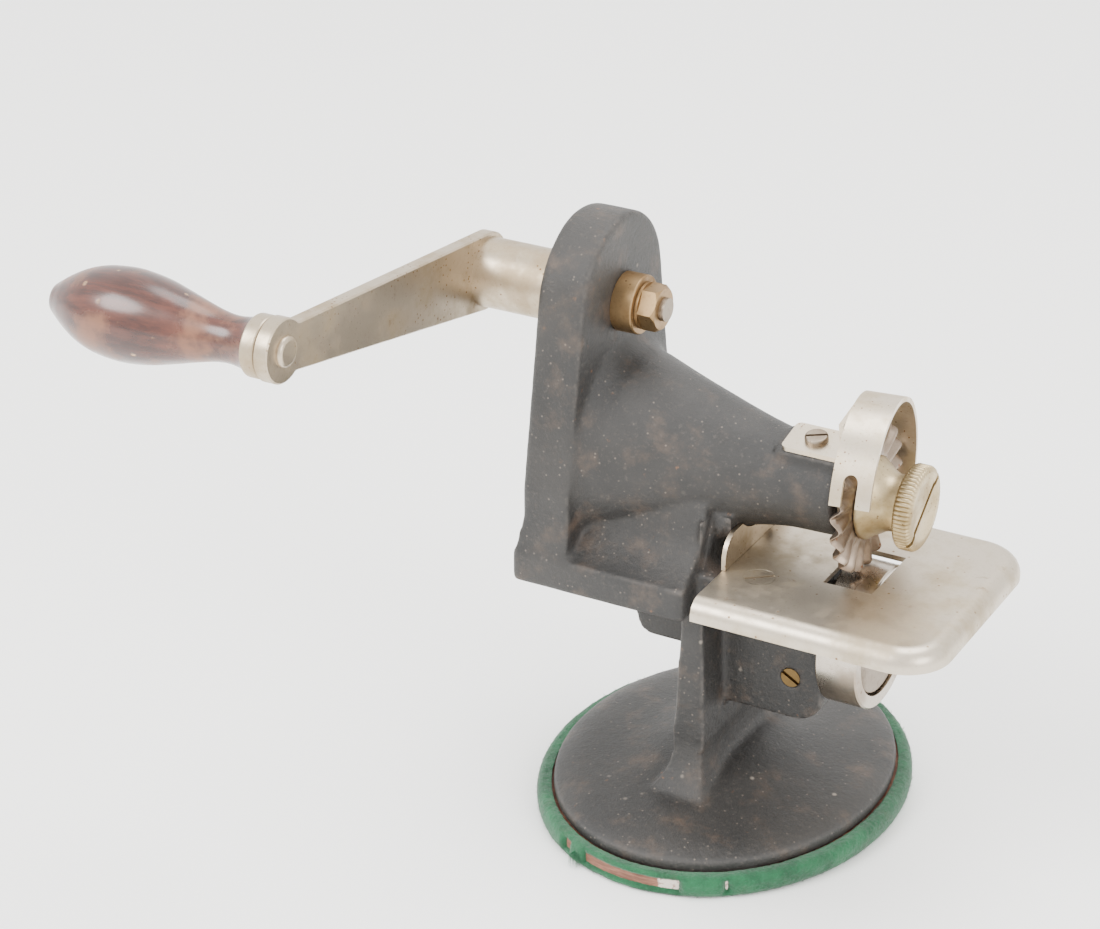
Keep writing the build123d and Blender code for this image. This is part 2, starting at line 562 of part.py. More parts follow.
# ---- anvil roller ------------------------------------------------------------------------
roller = rod(ROLLER_X0, ROLLER_X1, ROLLER_R, z=ROLLER_Z)
roller = chamfer(roller.edges().filter_by(GeomType.CIRCLE), 0.4)
roller -= rod(0, 60, 10.0, z=ROLLER_Z)
roller -= rod(HEAD_X0 - 0.3, 60, HEAD_R + 0.6, z=ROLLER_Z)
keep("anvil_roller", roller)
lining = rod(ROLLER_X0, HEAD_X0 - 0.3, 10.0, z=ROLLER_Z)
keep("roller_bush", lining - rod(0, 60, JOURNAL_R + RUN_GAP, z=ROLLER_Z))
stud = rod(STUD_X0, WEB_X1, STUD_R, z=ROLLER_Z)
stud += rod(WEB_X1, HEAD_X0, JOURNAL_R, z=ROLLER_Z)
disc = rod(HEAD_X0, ROLLER_X1 - 0.6, HEAD_R, z=ROLLER_Z)
disc = fillet(disc.edges().sort_by(Axis.X)[-1], 0.5)
stud += disc - Pos(ROLLER_X1 - 0.6, 0, ROLLER_Z) * Rot(20, 0, 0) * Box(2.4, 9.0, 1.4)
keep("roller_stud", stud)

x, y, z = BRACKET_SCREW
lock = Pos(x, y + 3.6, z) * Rot(90, 0, 0) * Cylinder(BRACKET_SCREW_R, 6.4)
lock -= Pos(x, y + 0.4, z) * Rot(0, 30, 0) * Box(8, 1.8, 0.9)
keep("bracket_screw", lock)

for name, shape in sorted(made.items()):
    print(name, round(shape.volume, 1))
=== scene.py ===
# %% [markdown]
# # A hand-cranked rotary cutter for leather, dressed for a studio picture
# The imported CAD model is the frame: every size and every moving body comes from it. Here each piece gets
# its finish, and the soft or finely cut pieces (felt, corrugated wheel, knurled nut, cast skin) get meshes
# of their own. Lengths are in metres, so one helper turns millimetres into them.

# %% Load the frame
import math
import random

import bmesh
import bpy
from mathutils import Matrix, Vector, noise


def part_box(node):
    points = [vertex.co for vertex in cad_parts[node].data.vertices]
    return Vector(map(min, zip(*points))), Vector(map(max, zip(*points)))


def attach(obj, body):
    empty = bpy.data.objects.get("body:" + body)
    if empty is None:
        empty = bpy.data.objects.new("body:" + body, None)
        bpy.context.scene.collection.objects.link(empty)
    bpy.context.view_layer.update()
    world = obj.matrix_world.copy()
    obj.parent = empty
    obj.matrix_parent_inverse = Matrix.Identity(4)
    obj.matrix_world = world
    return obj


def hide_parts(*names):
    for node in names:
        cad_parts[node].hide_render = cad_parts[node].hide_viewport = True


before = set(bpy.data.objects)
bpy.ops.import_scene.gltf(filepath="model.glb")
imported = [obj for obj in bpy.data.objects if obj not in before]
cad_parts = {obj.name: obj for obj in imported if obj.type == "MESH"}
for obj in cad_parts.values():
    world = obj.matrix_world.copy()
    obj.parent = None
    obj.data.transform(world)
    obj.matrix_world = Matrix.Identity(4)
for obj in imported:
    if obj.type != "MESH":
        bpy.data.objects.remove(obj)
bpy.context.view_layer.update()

MM = 0.001

# %% [markdown]
# ## Camera
# A long lens from far away keeps the parallel edges nearly parallel, as in a product picture. The camera is
# placed by an azimuth, an elevation and a distance from a point near the middle of the machine.

# %% Camera
AIM = Vector((-0.0555, 0.0, 0.0847))
AZIMUTH, ELEVATION, DISTANCE = math.radians(28.77), math.radians(26.42), 0.8543


def place_camera():
    level = math.cos(ELEVATION)
    away = Vector((math.sin(AZIMUTH) * level, -math.cos(AZIMUTH) * level, math.sin(ELEVATION)))
    data = bpy.data.cameras.new("studio_camera")
    data.sensor_width = 36.0
    data.lens = 102.5
    data.clip_start = 0.01
    camera = bpy.data.objects.new("studio_camera", data)
    camera.location = AIM + away * DISTANCE
    camera.rotation_euler = (-away).to_track_quat("-Z", "Y").to_euler()
    bpy.context.scene.collection.objects.link(camera)
    bpy.context.scene.camera = camera
    return camera


camera = place_camera()
print("camera at", [round(c, 4) for c in camera.location])

# %% [markdown]
# ## Floor and light
# A pale sweep of matt board, a broad soft key from the front left, a weaker fill from the right, and an even
# pale surround. The surround matters most: plated metal shows little but what it reflects.

# %% Studio
def linear(code):
    """sRGB hex such as "c8b9a4" to a linear RGBA colour."""
    values = [int(code[i:i + 2], 16) / 255 for i in (0, 2, 4)]
    return [v / 12.92 if v <= 0.04045 else ((v + 0.055) / 1.055) ** 2.4 for v in values] + [1.0]


def add(tree, kind, inputs=None, **settings):
    """Add a shader node, set its settings, and fill its inputs with values or links."""
    node = tree.nodes.new("ShaderNode" + kind)
    for name, value in settings.items():
        setattr(node, name, value)
    for name, value in (inputs or {}).items():
        if isinstance(value, bpy.types.NodeSocket):
            tree.links.new(value, node.inputs[name])
        else:
            node.inputs[name].default_value = value
    return node


def new_material(name):
    """An empty node material: its tree, its shader and the object's own coordinates."""
    material = bpy.data.materials.new(name)
    material.use_nodes = True
    tree = material.node_tree
    shader = tree.nodes["Principled BSDF"]
    place = add(tree, "TexCoord").outputs["Object"]
    return material, tree, shader, place


def floor():
    bpy.ops.mesh.primitive_grid_add(x_subdivisions=2, y_subdivisions=2, size=8.0, location=(0, 0, -0.0002))
    board = bpy.context.object
    board.name = "studio_floor"
    material, tree, shader, place = new_material("matt_white_board")
    grain = add(tree, "TexNoise", {"Vector": place, "Scale": 4.0, "Detail": 2.0})
    tone = add(tree, "ValToRGB", {"Fac": grain.outputs["Fac"]})
    tone.color_ramp.elements[0].color = linear("fafaf8")
    tone.color_ramp.elements[1].color = linear("fdfdfc")
    tree.links.new(tone.outputs["Color"], shader.inputs["Base Color"])
    shader.inputs["Roughness"].default_value = 0.6
    board.data.materials.append(material)


def lamp(name, place, size, power, aim=(0, 0, 0.07)):
    data = bpy.data.lights.new(name, "AREA")
    data.shape = "DISK"
    data.size = size
    data.energy = power
    light = bpy.data.objects.new(name, data)
    light.location = place
    light.rotation_euler = (Vector(aim) - Vector(place)).to_track_quat("-Z", "Y").to_euler()
    bpy.context.scene.collection.objects.link(light)


world = bpy.data.worlds.new("pale_surround")
world.use_nodes = True
world.node_tree.nodes["Background"].inputs["Color"].default_value = linear("fbfaf8")
world.node_tree.nodes["Background"].inputs["Strength"].default_value = 2.3
bpy.context.scene.world = world
floor()
lamp("key_front_left", (-0.75, -1.0, 1.15), 0.9, 27.0)
lamp("fill_right", (1.2, -0.5, 0.7), 0.8, 10.0)
lamp("top", (0.0, 0.35, 1.3), 0.9, 13.0)

# %% [markdown]
# ## Patterns that every finish shares
# Old metal is never one colour. Three helpers cover most of it: a cloudy variation, small round specks
# (rust freckles, dust, pits), and a bump from the same patterns so that light catches them. Each takes its
# size in real millimetres.

# %% Pattern helpers
def cloud(tree, place, size_mm, detail=4.0, rough=0.55):
    """Soft noise whose blotches are about size_mm across."""
    settings = {"Vector": place, "Scale": 1000.0 / size_mm, "Detail": detail, "Roughness": rough}
    return add(tree, "TexNoise", settings).outputs["Fac"]


def window(tree, value, low, high):
    """Rescale a value so that low gives 0 and high gives 1, with a soft start and end."""
    given = {"Value": value, "From Min": low, "From Max": high}
    return add(tree, "MapRange", given, interpolation_type="SMOOTHSTEP").outputs["Result"]


def specks(tree, place, size_mm, share):
    """Round specks about size_mm apart, of which only a share show."""
    cell = add(tree, "TexVoronoi", {"Vector": place, "Scale": 1000.0 / size_mm, "Randomness": 1.0})
    near = window(tree, cell.outputs["Distance"], 0.30, 0.08)
    lot = add(tree, "SeparateColor", {"Color": cell.outputs["Color"]}).outputs["Red"]
    chosen = window(tree, lot, 1.0 - share, 1.0 - share + 0.05)
    return add(tree, "Math", {0: near, 1: chosen}, operation="MULTIPLY").outputs[0]


def times(tree, a, b):
    return add(tree, "Math", {0: a, 1: b}, operation="MULTIPLY").outputs[0]


def blend_colour(tree, amount, under, over):
    """Lay one colour over another by an amount. Colours are sockets or hex codes."""
    under = linear(under) if isinstance(under, str) else under
    over = linear(over) if isinstance(over, str) else over
    mix = add(tree, "Mix", {0: amount, 6: under, 7: over}, data_type="RGBA")
    return mix.outputs[2]


def relief(tree, height, depth_mm, strength=1.0, below=None):
    """Bump from a height pattern, depth in millimetres."""
    given = {"Height": height, "Distance": depth_mm * MM, "Strength": strength}
    if below:
        given["Normal"] = below
    return add(tree, "Bump", given).outputs["Normal"]


def paint(material, *names):
    """Give carried-over CAD nodes their finish."""
    for name in names:
        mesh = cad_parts[name].data
        mesh.materials.clear()
        mesh.materials.append(material)


# %% [markdown]
# ## Japanned cast iron
# The frame is sand-cast grey iron under a thin black baked enamel, dulled to a warm charcoal by a century of
# dust. Three layers show it: mottled enamel, a brown film where dirt settles, and pale specks and rubbed
# edges. Mesh curvature (Pointiness) finds edges and hollows, which a plain noise can't; the hollows are
# darkened as painted shade.

# %% Enamel
def japanned_iron():
    material, tree, shader, place = new_material("japanned_cast_iron")
    broad = cloud(tree, place, 26.0, 5.0)
    fine = cloud(tree, place, 1.3, 6.0, 0.7)
    colour = blend_colour(tree, window(tree, broad, 0.35, 0.68), "1f1e1d", "2c2a28")
    colour = blend_colour(tree, window(tree, cloud(tree, place, 11.0, 6.0, 0.65), 0.50, 0.78), colour, "4a3d33")
    colour = blend_colour(tree, times(tree, window(tree, fine, 0.52, 0.75), 0.4), colour, "57504a")
    curve = add(tree, "NewGeometry").outputs["Pointiness"]
    rubbed = times(tree, window(tree, curve, 0.515, 0.56), window(tree, cloud(tree, place, 3.0), 0.35, 0.6))
    colour = blend_colour(tree, times(tree, rubbed, 0.5), colour, "69625c")
    # Painted shade: the enamel is darkened in the hollows (low Pointiness), standing in for the shade that
    # falls there.
    painted_hollow_shade = times(tree, window(tree, curve, 0.49, 0.45), 0.5)
    colour = blend_colour(tree, painted_hollow_shade, colour, "1c1a19")
    dust = specks(tree, place, 1.3, 0.14)
    colour = blend_colour(tree, times(tree, dust, 0.35), colour, "8d8074")
    grit = times(tree, specks(tree, place, 3.0, 0.04), 0.6)
    colour = blend_colour(tree, grit, colour, "a89c8e")
    rust = times(tree, specks(tree, place, 2.6, 0.08), window(tree, fine, 0.45, 0.6))
    colour = blend_colour(tree, times(tree, rust, 0.6), colour, "7a5233")
    tree.links.new(colour, shader.inputs["Base Color"])
    gloss = add(tree, "MapRange", {"Value": fine, "To Min": 0.42, "To Max": 0.66}).outputs["Result"]
    tree.links.new(gloss, shader.inputs["Roughness"])
    shader.inputs["IOR"].default_value = 1.5
    sand = relief(tree, cloud(tree, place, 1.5, 6.0, 0.7), 0.30, 1.0)
    pits = relief(tree, fine, 0.12, 0.9, sand)
    tree.links.new(pits, shader.inputs["Normal"])
    return material


enamel = japanned_iron()

# %% [markdown]
# The sharp joins of the CAD casting are where a founder would leave a fillet. The skin is a copy of the CAD
# mesh, rebuilt on an even grid and relaxed, so every inside corner fills and every outside edge softens a
# little. Two shoulders of the saddle beside the edge guide are trimmed back to the shelf, so there the skin is
# smaller than the CAD solid. It stays inside the CAD solid's box, because relaxing only pulls outer edges in.

# %% Cast skin
VOXEL = 0.75 * MM
SHOULDER_X = (0.9, 9.0)   # stretch of the shoulders that is trimmed off, in mm
SHELF_TOP = 76.1


def push(mesh, amount):
    """Move every point along its normal by amount(point). Normals are read before any point moves."""
    normals = [v.normal.copy() for v in mesh.vertices]
    moved = []
    for vertex, normal in zip(mesh.vertices, normals):
        moved.extend(vertex.co + normal * amount(vertex.co))
    mesh.vertices.foreach_set("co", moved)
    mesh.update()


def box_tool(x0, x1, y0, y1, z0, z1):
    """A box that trims the skin, by its faces in mm."""
    bm = bmesh.new()
    bmesh.ops.create_cube(bm, size=1.0)
    bmesh.ops.scale(bm, vec=((x1 - x0) * MM, abs(y1 - y0) * MM, (z1 - z0) * MM), verts=bm.verts)
    middle = ((x0 + x1) / 2 * MM, (y0 + y1) / 2 * MM, (z0 + z1) / 2 * MM)
    bmesh.ops.translate(bm, vec=middle, verts=bm.verts)
    mesh = bpy.data.meshes.new("box_tool")
    bm.to_mesh(mesh)
    bm.free()
    tool = bpy.data.objects.new("box_tool", mesh)
    bpy.context.scene.collection.objects.link(tool)
    return tool


def cast_skin():
    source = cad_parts["frame_casting"]
    skin = bpy.data.objects.new("cast_skin", source.data.copy())
    bpy.context.scene.collection.objects.link(skin)
    grid = skin.modifiers.new("even_grid", "REMESH")
    grid.mode = "VOXEL"
    grid.voxel_size = VOXEL
    tools = [box_tool(*SHOULDER_X, side * 12.6, side * 15.4, SHELF_TOP, 84.6) for side in (-1, 1)]
    tools += [box_tool(*SHOULDER_X, side * 15.2, side * 26.0, SHELF_TOP, 91.4) for side in (-1, 1)]
    for tool in tools:
        trim = skin.modifiers.new("trim", "BOOLEAN")
        trim.object = tool
        trim.solver = "EXACT"
    relax = skin.modifiers.new("relax", "SMOOTH")
    relax.factor = 0.5
    relax.iterations = 9
    depsgraph = bpy.context.evaluated_depsgraph_get()
    mesh = bpy.data.meshes.new_from_object(skin.evaluated_get(depsgraph))
    skin.modifiers.clear()
    for tool in tools:
        bpy.data.objects.remove(tool)
    skin.data = mesh
    push(mesh, lambda p: -(abs(noise.noise(p * (1 / (7 * MM)))) * 0.10 + 0.02) * MM)
    for face in mesh.polygons:
        face.use_smooth = True
    mesh.materials.clear()
    mesh.materials.append(enamel)
    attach(skin, "frame")
    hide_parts("frame_casting")
    return skin


skin = cast_skin()
paint(enamel, "gear_cover")
print("cast skin", len(skin.data.polygons), "faces")

# %% [markdown]
# ## Nickel plate
# Brushed steel with a thin, warm nickel plate that has dulled. The base is a metal with a slightly yellow
# grey, cloudy tarnish makes it browner and rougher, and rust comes up through pinholes as brown freckles.

# %% Plated and bare metals
def old_metal(name, bright, dull, rust, rough, freckle_mm=2.0, freckle_share=0.15, tarnish=0.5, brush=0.0):
    material, tree, shader, place = new_material(name)
    broad = cloud(tree, place, 14.0, 5.0, 0.6)
    film = times(tree, window(tree, broad, 0.42, 0.72), tarnish)
    colour = blend_colour(tree, film, bright, dull)
    fine = cloud(tree, place, 0.9, 4.0, 0.7)
    colour = blend_colour(tree, times(tree, window(tree, fine, 0.5, 0.8), 0.5), colour, dull)
    freckles = specks(tree, place, freckle_mm, freckle_share)
    patches = window(tree, cloud(tree, place, 9.0), 0.40, 0.62)
    freckles = times(tree, freckles, patches)
    colour = blend_colour(tree, freckles, colour, rust)
    bloom = times(tree, window(tree, cloud(tree, place, 5.0, 6.0, 0.7), 0.60, 0.78), tarnish)
    colour = blend_colour(tree, bloom, colour, rust)
    tree.links.new(colour, shader.inputs["Base Color"])
    shader.inputs["Metallic"].default_value = 1.0
    wear = add(tree, "Math", {0: film, 1: freckles}, operation="ADD").outputs[0]
    gloss = add(tree, "MapRange", {"Value": wear, "To Min": rough, "To Max": rough + 0.28}).outputs["Result"]
    tree.links.new(gloss, shader.inputs["Roughness"])
    normal = relief(tree, fine, 0.012, 0.6)
    normal = relief(tree, freckles, -0.03, 0.7, normal)
    if brush:
        stretched = add(tree, "Mapping", {"Vector": place, "Scale": (1.0, 0.06, 1.0)}).outputs["Vector"]
        lines = cloud(tree, stretched, brush, 2.0)
        normal = relief(tree, lines, 0.01, 0.5, normal)
    tree.links.new(normal, shader.inputs["Normal"])
    return material


nickel = old_metal("aged_nickel_plate", "b9ab97", "978568", "6f4d2c", 0.34, 1.3, 0.26, 0.75, 0.5)
table_nickel = old_metal("rubbed_nickel_table", "c4b9a8", "a39378", "80603f", 0.36, 1.6, 0.14, 0.7, 0.45)
guard_nickel = old_metal("freckled_nickel_guard", "cdc1ae", "a99676", "6f4828", 0.30, 1.1, 0.34, 0.6)
nut_nickel = old_metal("yellowed_nickel_nut", "b8a785", "8d7850", "5f4226", 0.34, 1.2, 0.28, 0.8)
dull_steel = old_metal("dull_machine_steel", "8f8375", "6a5a48", "5c4028", 0.42, 1.5, 0.25, 0.8)
tarnished = old_metal("brown_tarnished_steel", "947a58", "6a5032", "45301c", 0.42, 1.4, 0.30, 0.9)
bronze = old_metal("bearing_bronze", "6b5738", "4a3a25", "2a2016", 0.40, 1.6, 0.20, 0.8)
roller_steel = old_metal("ground_roller_steel", "bdb3a6", "8d7c69", "6b4c31", 0.25, 2.4, 0.20, 0.7)
cutter_steel = old_metal("hardened_cutter_steel", "8b7c6e", "63523f", "7a4a2c", 0.36, 1.8, 0.30, 0.9)
gear_iron = old_metal("oiled_gear_iron", "6c6761", "4a443d", "4a3626", 0.38, 2.0, 0.15, 0.6)
paint(nickel, "crank_arm", "crank_sleeve", "handle_pin", "handle_ferrule", "edge_guide")
paint(table_nickel, "table_plate", "table_screws")
paint(guard_nickel, "cutter_guard")
paint(dull_steel, "crank_shaft", "guard_screw", "guide_screw", "cover_screws", "drive_gear_key")
paint(dull_steel, "cutter_shaft", "cutter_gear_key", "cutter_collar", "roller_stud")
paint(tarnished, "crank_nut", "crank_washer", "crank_bush_front")
paint(bronze, "crank_bush_rear", "cutter_bush_front", "cutter_bush_rear", "bracket_screw", "roller_bush")
paint(roller_steel, "anvil_roller")
paint(gear_iron, "drive_gear", "cutter_gear")
print("metals painted")

# %% [markdown]
# ## Meshes turned on a lathe
# A turned piece is one outline spun about its axis. The helper takes (x, r) points, and a function that may
# push any point in or out by its angle, which gives knurls and corrugations from the same code.

# %% Lathe helper
def lathe(name, profile, axis_y, axis_z, turns, warp=None):
    """Spin (x, r) points in mm about an X-parallel axis. warp(x, r, angle) may move a point."""
    bm = bmesh.new()
    rings = []
    for x, r in profile:
        ring = []
        for i in range(turns):
            a = 2 * math.pi * i / turns
            px, pr = warp(x, r, a) if warp else (x, r)
            y, z = axis_y + pr * math.cos(a), axis_z + pr * math.sin(a)
            ring.append(bm.verts.new((px * MM, y * MM, z * MM)))
        rings.append(ring)
    for low, high in zip(rings, rings[1:]):
        for i in range(turns):
            j = (i + 1) % turns
            bm.faces.new((low[i], low[j], high[j], high[i]))
    for ring in (rings[0], rings[-1]):
        bm.faces.new(ring)
    bmesh.ops.recalc_face_normals(bm, faces=bm.faces)
    mesh = bpy.data.meshes.new(name)
    bm.to_mesh(mesh)
    bm.free()
    piece = bpy.data.objects.new(name, mesh)
    bpy.context.scene.collection.objects.link(piece)
    for face in mesh.polygons:
        face.use_smooth = True
    return piece


def axis_of(node):
    """Height of a round node's axis, in mm."""
    low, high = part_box(node)
    return (low[2] + high[2]) / 2 / MM


def hard_edges(piece, angle=32):
    """Keep edges sharper than the angle crisp."""
    piece.data.set_sharp_from_angle(angle=math.radians(angle))


# %% [markdown]
# ## Corrugated cutter wheel
# The rim is one steel disc pressed into waves and ground to an edge, so it cuts a scallop. The wave grows
# from nothing at the hub to its full depth at the edge, and the last millimetre thins to the cutting edge.

# %% Cutter wheel
CUTTER_Z = axis_of("cutter_wheel")
WHEEL_LOW, WHEEL_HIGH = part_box("cutter_wheel")
WHEEL_X = (WHEEL_LOW[0] + WHEEL_HIGH[0]) / 2 / MM
WHEEL_R = (WHEEL_HIGH[2] - WHEEL_LOW[2]) / 2 / MM - 0.02
WAVES = 20


def cutter_wheel():
    hub_r, half = 11.5, 0.95

    def wave(x, r, a):
        grow = min(max((r - hub_r) / (WHEEL_R - hub_r), 0.0), 1.0)
        swing = 1.28 * grow ** 0.8 * math.sin(WAVES * a)
        return x + swing, r

    steps = [i / 9 for i in range(10)]
    side = [(hub_r + (WHEEL_R - 1.0 - hub_r) * s, half - 0.25 * s) for s in steps]
    front = [(WHEEL_X + t, r) for r, t in side]
    back = [(WHEEL_X - t, r) for r, t in side]
    profile = [(WHEEL_X - half, 3.3), (WHEEL_X - half, 7.0)] + back
    profile += [(WHEEL_X - 0.12, WHEEL_R), (WHEEL_X + 0.12, WHEEL_R)] + front[::-1]
    profile += [(WHEEL_X + half, 7.0), (WHEEL_X + half, 3.3)]
    wheel = lathe("corrugated_wheel", profile, 0, CUTTER_Z, WAVES * 18, wave)
    hard_edges(wheel, 40)
    wheel.data.materials.append(cutter_steel)
    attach(wheel, "cutter")
    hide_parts("cutter_wheel")
    return wheel


wheel = cutter_wheel()
print("cutter wheel radius", round(WHEEL_R, 2), "mm,", WAVES, "waves")

# %% [markdown]
# ## Knurled thumb nut
# A flange clamps the wheel, a hollow neck gives room for fingertips, and the head carries a straight knurl:
# grooves rolled along the axis. The grooves are cut in the mesh, because they show in outline. A coin slot
# crosses the face.

# %% Thumb nut
NUT_LOW, NUT_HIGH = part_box("thumb_nut")
NUT_X0, NUT_X1 = NUT_LOW[0] / MM, NUT_HIGH[0] / MM
NUT_R = (NUT_HIGH[2] - NUT_LOW[2]) / 2 / MM
KNURLS = 58


def thumb_nut():
    head_x0 = NUT_X1 - 4.9

    def knurl(x, r, a):
        if r < NUT_R - 1.1 or x < head_x0:
            return x, r
        groove = abs(math.sin(KNURLS * a / 2)) ** 0.8
        return x, r - 0.42 * (1 - groove)

    neck = []
    for i in range(13):
        s = i / 12
        drop = math.sin(math.pi * min(s * 0.62, 0.5)) if s < 0.8 else 1.0
        neck.append((NUT_X0 + 1.3 + (head_x0 - NUT_X0 - 1.9) * s, 11.0 - 3.5 * drop))
    profile = [(NUT_X0, 3.3), (NUT_X0, 10.9), (NUT_X0 + 0.25, 11.15), (NUT_X0 + 1.0, 11.15)]
    profile += neck
    profile += [(head_x0 - 0.3, 8.4), (head_x0 - 0.05, 10.3), (head_x0 + 0.35, NUT_R - 0.35)]
    profile += [(head_x0 + 0.9, NUT_R), (NUT_X1 - 1.1, NUT_R), (NUT_X1 - 0.45, NUT_R - 0.4)]
    profile += [(NUT_X1 - 0.15, NUT_R - 1.0), (NUT_X1, NUT_R - 1.6), (NUT_X1 - 0.05, 8.0), (NUT_X1 - 0.3, 7.4)]
    profile += [(NUT_X1 - 0.3, 0.4)]
    nut = lathe("knurled_thumb_nut", profile, 0, CUTTER_Z, KNURLS * 6, knurl)
    hard_edges(nut, 38)
    nut.data.materials.append(nut_nickel)
    cutter = slot_tool(NUT_X1, 1.3, 1.5)
    cut = nut.modifiers.new("coin_slot", "BOOLEAN")
    cut.object = cutter
    cut.solver = "EXACT"
    depsgraph = bpy.context.evaluated_depsgraph_get()
    nut.data = bpy.data.meshes.new_from_object(nut.evaluated_get(depsgraph))
    nut.modifiers.clear()
    bpy.data.objects.remove(cutter)
    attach(nut, "clamp_nut")
    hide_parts("thumb_nut")
    return nut


def slot_tool(x, depth, width):
    """A bar that cuts the slot across the face, turned on the axis."""
    bm = bmesh.new()
    bmesh.ops.create_cube(bm, size=1.0)
    bmesh.ops.scale(bm, vec=(2 * depth * MM, 0.03, width * MM), verts=bm.verts)
    bmesh.ops.rotate(bm, matrix=Matrix.Rotation(math.radians(38), 3, "X"), verts=bm.verts)
    bmesh.ops.translate(bm, vec=(x * MM, 0, CUTTER_Z * MM), verts=bm.verts)
    mesh = bpy.data.meshes.new("slot_tool")
    bm.to_mesh(mesh)
    bm.free()
    tool = bpy.data.objects.new("slot_tool", mesh)
    bpy.context.scene.collection.objects.link(tool)
    return tool


nut = thumb_nut()
print("thumb nut", round(2 * NUT_R, 1), "mm across,", KNURLS, "grooves")

# %% [markdown]
# ## Varnished hardwood grip
# A turned hardwood grip, stained red-brown and varnished. Hands have worn the varnish through on the belly,
# where lighter wood shows, and knocks have chipped it. The grain runs along the grip, so the pattern is
# stretched along X.

# %% Grip
def varnished_wood():
    material, tree, shader, place = new_material("worn_varnished_hardwood")
    along = add(tree, "Mapping", {"Vector": place, "Scale": (0.12, 1.0, 1.0)}).outputs["Vector"]
    grain = cloud(tree, along, 1.6, 6.0, 0.65)
    streak = cloud(tree, along, 6.0, 4.0)
    colour = blend_colour(tree, window(tree, grain, 0.35, 0.68), "2f140f", "4e251a")
    colour = blend_colour(tree, times(tree, window(tree, streak, 0.45, 0.7), 0.5), colour, "643425")
    worn = window(tree, cloud(tree, place, 17.0, 5.0, 0.6), 0.50, 0.66)
    colour = blend_colour(tree, times(tree, worn, 0.6), colour, "87583c")
    dark = window(tree, cloud(tree, place, 8.0, 5.0, 0.6), 0.56, 0.74)
    colour = blend_colour(tree, times(tree, dark, 0.7), colour, "33150f")
    chips = times(tree, specks(tree, place, 3.2, 0.10), window(tree, grain, 0.4, 0.6))
    colour = blend_colour(tree, chips, colour, "c09a72")
    tree.links.new(colour, shader.inputs["Base Color"])
    gloss = add(tree, "MapRange", {"Value": worn, "To Min": 0.24, "To Max": 0.44}).outputs["Result"]
    tree.links.new(gloss, shader.inputs["Roughness"])
    shader.inputs["IOR"].default_value = 1.5
    shader.inputs["Coat Weight"].default_value = 0.35
    shader.inputs["Coat Roughness"].default_value = 0.18
    normal = relief(tree, grain, 0.05, 0.5)
    normal = relief(tree, chips, -0.12, 0.8, normal)
    tree.links.new(normal, shader.inputs["Normal"])
    return material


wood = varnished_wood()
GRIP_LOW, GRIP_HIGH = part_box("handle_grip")
GRIP_Y = (GRIP_LOW[1] + GRIP_HIGH[1]) / 2 / MM
GRIP_Z = (GRIP_LOW[2] + GRIP_HIGH[2]) / 2 / MM


def through(points, per_span=6):
    """A smooth outline through given points (Catmull-Rom)."""
    ends = [points[0]] + points + [points[-1]]
    smooth = []
    for p0, p1, p2, p3 in zip(ends, ends[1:], ends[2:], ends[3:]):
        for i in range(per_span):
            t = i / per_span
            smooth.append(tuple(0.5 * (2 * b + (c - a) * t + (2 * a - 5 * b + 4 * c - d) * t * t
                                       + (3 * b - a - 3 * c + d) * t ** 3)
                                for a, b, c, d in zip(p0, p1, p2, p3)))
    return smooth + [points[-1]]


def grip():
    outline = [(-82.4, 7.35), (-84.6, 6.55), (-88.5, 6.05), (-93.0, 6.45), (-98.5, 7.75), (-104.5, 9.4)]
    outline += [(-110.5, 10.9), (-116.0, 11.7), (-121.0, 11.85), (-127.0, 11.15), (-132.0, 9.65)]
    outline += [(-136.5, 7.35), (-139.8, 5.2), (-141.5, 4.0)]

    def hand_turned(x, r, a):
        spot = Vector((x * 0.08, math.cos(a) * 1.2, math.sin(a) * 1.2))
        return x, r - 0.08 * abs(noise.noise(spot)) if r > 5 else r

    profile = [(-82.4, 2.6)] + through(outline) + [(-139.6, 3.7), (-137.2, 3.6), (-137.2, 3.5)]
    piece = lathe("turned_grip", profile, GRIP_Y, GRIP_Z, 96, hand_turned)
    hard_edges(piece, 50)
    piece.data.materials.append(wood)
    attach(piece, "handle")
    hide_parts("handle_grip")
    return piece


grip_piece = grip()
print("grip", round((GRIP_HIGH[0] - GRIP_LOW[0]) / MM, 1), "mm long")

# %% [markdown]
# ## Felt round the base
# One oval of green wool felt is glued under a board and turned up over its edge, as far as the foot. Along the
# front it has worn through, and the board's edge shows. The felt is built as a sheet: a row of points
# runs from under the middle, round the edge and in over the top, and the row is swept round the oval.
# Solidify gives the sheet its thickness.

# %% Felt and board finishes
def wool_felt():
    material, tree, shader, place = new_material("green_wool_felt")
    lay = cloud(tree, place, 9.0, 4.0)
    fuzz = cloud(tree, place, 0.7, 5.0, 0.75)
    colour = blend_colour(tree, window(tree, lay, 0.35, 0.7), "0a4226", "165c37")
    colour = blend_colour(tree, times(tree, window(tree, fuzz, 0.45, 0.72), 0.5), colour, "24704a")
    dirt = times(tree, window(tree, cloud(tree, place, 6.0, 5.0), 0.55, 0.8), 0.5)
    colour = blend_colour(tree, dirt, colour, "3c4a34")
    tree.links.new(colour, shader.inputs["Base Color"])
    shader.inputs["Roughness"].default_value = 0.95
    shader.inputs["Sheen Weight"].default_value = 0.2
    shader.inputs["Sheen Roughness"].default_value = 0.5
    tree.links.new(relief(tree, fuzz, 0.35, 1.0), shader.inputs["Normal"])
    return material


